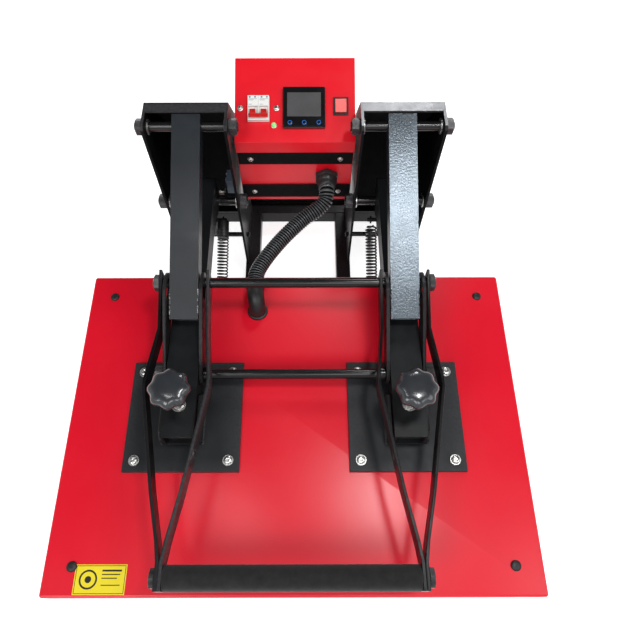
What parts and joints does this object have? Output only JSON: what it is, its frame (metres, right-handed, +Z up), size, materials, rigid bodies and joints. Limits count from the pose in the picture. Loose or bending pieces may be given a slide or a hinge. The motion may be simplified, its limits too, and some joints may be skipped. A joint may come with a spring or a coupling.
{
  "type": "heat press",
  "caption": "Large-format clamshell heat press: hinged heated platen on two arms, closed by linked toggle levers with one common handle, with a control box at the rear.",
  "frame": {"origin": "centre of the bounding box at floor level, where the feet stand", "axes": "+X to the right seen from the handle, +Y to the rear posts, +Z up; shown closed"},
  "size_m": [0.72, 0.8365, 0.45],
  "materials": {
    "red_paint": "high-gloss red enamel on steel sheet",
    "black_paint": "satin black powder coat with a fine texture",
    "black_oxide": "satin black oxide on turned steel",
    "zinc_steel": "bright zinc plate",
    "spring_steel": "drawn spring wire",
    "aluminium": "machined plate",
    "silicone": "matt silicone foam",
    "foam": "matt foam grip",
    "foot_rubber": "moulded rubber",
    "knob_plastic": "gloss moulded phenolic",
    "black_plastic": "moulded nylon",
    "white_plastic": "moulded thermoset",
    "red_plastic": "translucent moulded plastic",
    "green_lens": "clear green lens",
    "blue_plastic": "moulded keys",
    "grey_plastic": "moulded housing"
  },
  "bodies": {
    "base": {"base_cross_front": "black_paint", "base_cross_rear": "black_paint", "base_rail_left": "black_paint", "base_rail_right": "black_paint", "bed_beam_front": "black_paint", "bed_beam_rear": "black_paint", "breaker_housing": "white_plastic", "cable_gland": "black_plastic", "conduit": "black_plastic", "control_box": "red_paint", "controller_housing": "grey_plastic", "foot_front_left": "foot_rubber", "foot_front_right": "foot_rubber", "foot_rear_left": "foot_rubber", "foot_rear_right": "foot_rubber", "indicator_lamp": "green_lens", "lever_pivot_rod_left": "black_oxide", "lever_pivot_rod_right": "black_oxide", "lift_spring_left": "spring_steel", "lift_spring_right": "spring_steel", "limit_switch_body": "grey_plastic", "lower_platen": "aluminium", "platen_pivot_rod_left": "black_oxide", "platen_pivot_rod_right": "black_oxide", "post_left": "black_paint", "post_right": "black_paint", "rocker_frame": "black_plastic", "silicone_pad": "silicone", "stop_rod_left": "black_oxide", "stop_rod_right": "black_oxide"},
    "platen": {"adapter_plate_left": "black_paint", "adapter_plate_right": "black_paint", "conduit_elbow": "black_plastic", "heater_plate": "aluminium", "platen_arm_left": "black_paint", "platen_arm_right": "black_paint", "platen_cover": "red_paint", "toggle_rod": "black_oxide"},
    "lever": {"crossbar": "black_oxide", "fork_bar_inner_left": "black_paint", "fork_bar_inner_right": "black_paint", "fork_bar_outer_left": "black_paint", "fork_bar_outer_right": "black_paint", "handle_grip": "foam", "handle_rod": "black_oxide", "lever_tube_left": "black_paint", "lever_tube_right": "black_paint"},
    "breaker_toggle": {"breaker_toggle": "red_plastic"},
    "controller_button_left": {"controller_button_left": "blue_plastic"},
    "controller_button_middle": {"controller_button_middle": "blue_plastic"},
    "controller_button_right": {"controller_button_right": "blue_plastic"},
    "limit_switch_lever": {"limit_switch_lever": "zinc_steel"},
    "pressure_knob_left": {"pressure_knob_left": "knob_plastic"},
    "pressure_knob_right": {"pressure_knob_right": "knob_plastic"},
    "rocker_switch": {"rocker_switch": "red_plastic"},
    "toggle_link_left": {"toggle_link_inner_left": "black_paint", "toggle_link_outer_left": "black_paint"},
    "toggle_link_right": {"toggle_link_inner_right": "black_paint", "toggle_link_outer_right": "black_paint"}
  },
  "joints": [
    {"name": "platen_hinge", "type": "hinge", "parent": "base", "child": "platen", "pos_m": [0, 0.26375, 0.247], "axis": [-1, 0, 0], "range_deg": [0, 30], "deforming": ["conduit", "lift_spring_left", "lift_spring_right"]},
    {"name": "lever_hinge", "type": "hinge", "parent": "base", "child": "lever", "pos_m": [0, 0.27475, 0.427], "axis": [-1, 0, 0], "range_deg": [0, 56]},
    {"name": "toggle_pivot_left", "type": "hinge", "parent": "platen", "child": "toggle_link_left", "pos_m": [0, -0.09725, 0.273], "axis": [-1, 0, 0], "range_deg": [-60, 0]},
    {"name": "toggle_pivot_right", "type": "hinge", "parent": "platen", "child": "toggle_link_right", "pos_m": [0, -0.09725, 0.273], "axis": [-1, 0, 0], "range_deg": [-60, 0]},
    {"name": "knob_turn_left", "type": "hinge", "parent": "platen", "child": "pressure_knob_left", "pos_m": [-0.175, -0.15425, 0.295], "axis": [0, 0, 1], "continuous": true},
    {"name": "knob_turn_right", "type": "hinge", "parent": "platen", "child": "pressure_knob_right", "pos_m": [0.175, -0.15425, 0.295], "axis": [0, 0, 1], "continuous": true},
    {"name": "breaker_throw", "type": "hinge", "parent": "base", "child": "breaker_toggle", "pos_m": [-0.062, 0.3255, 0.40627], "axis": [1, 0, 0], "range_deg": [-12, 12]},
    {"name": "rocker_tip", "type": "hinge", "parent": "base", "child": "rocker_switch", "pos_m": [0.07825, 0.33638, 0.41208], "axis": [1, 0, 0], "range_deg": [0, 5]},
    {"name": "controller_button_left_press", "type": "slide", "parent": "base", "child": "controller_button_left", "axis": [0, 0.3681, -0.9298], "range_m": [0, 0.0012], "stiffness_N_per_m": 300},
    {"name": "controller_button_middle_press", "type": "slide", "parent": "base", "child": "controller_button_middle", "axis": [0, 0.3681, -0.9298], "range_m": [0, 0.0012], "stiffness_N_per_m": 300},
    {"name": "controller_button_right_press", "type": "slide", "parent": "base", "child": "controller_button_right", "axis": [0, 0.3681, -0.9298], "range_m": [0, 0.0012], "stiffness_N_per_m": 300},
    {"name": "limit_lever_swing", "type": "hinge", "parent": "base", "child": "limit_switch_lever", "pos_m": [-0.134, 0.30375, 0.259], "axis": [1, 0, 0], "range_deg": [-12, 0], "stiffness_Nm_per_rad": 0.08}
  ],
  "couplings": [
    {"joint": "lever_hinge", "follows": "platen_hinge", "ratio": 1.8184},
    {"joint": "toggle_pivot_left", "follows": "platen_hinge", "ratio": -1.9477},
    {"joint": "toggle_pivot_right", "follows": "platen_hinge", "ratio": -1.9477}
  ]
}
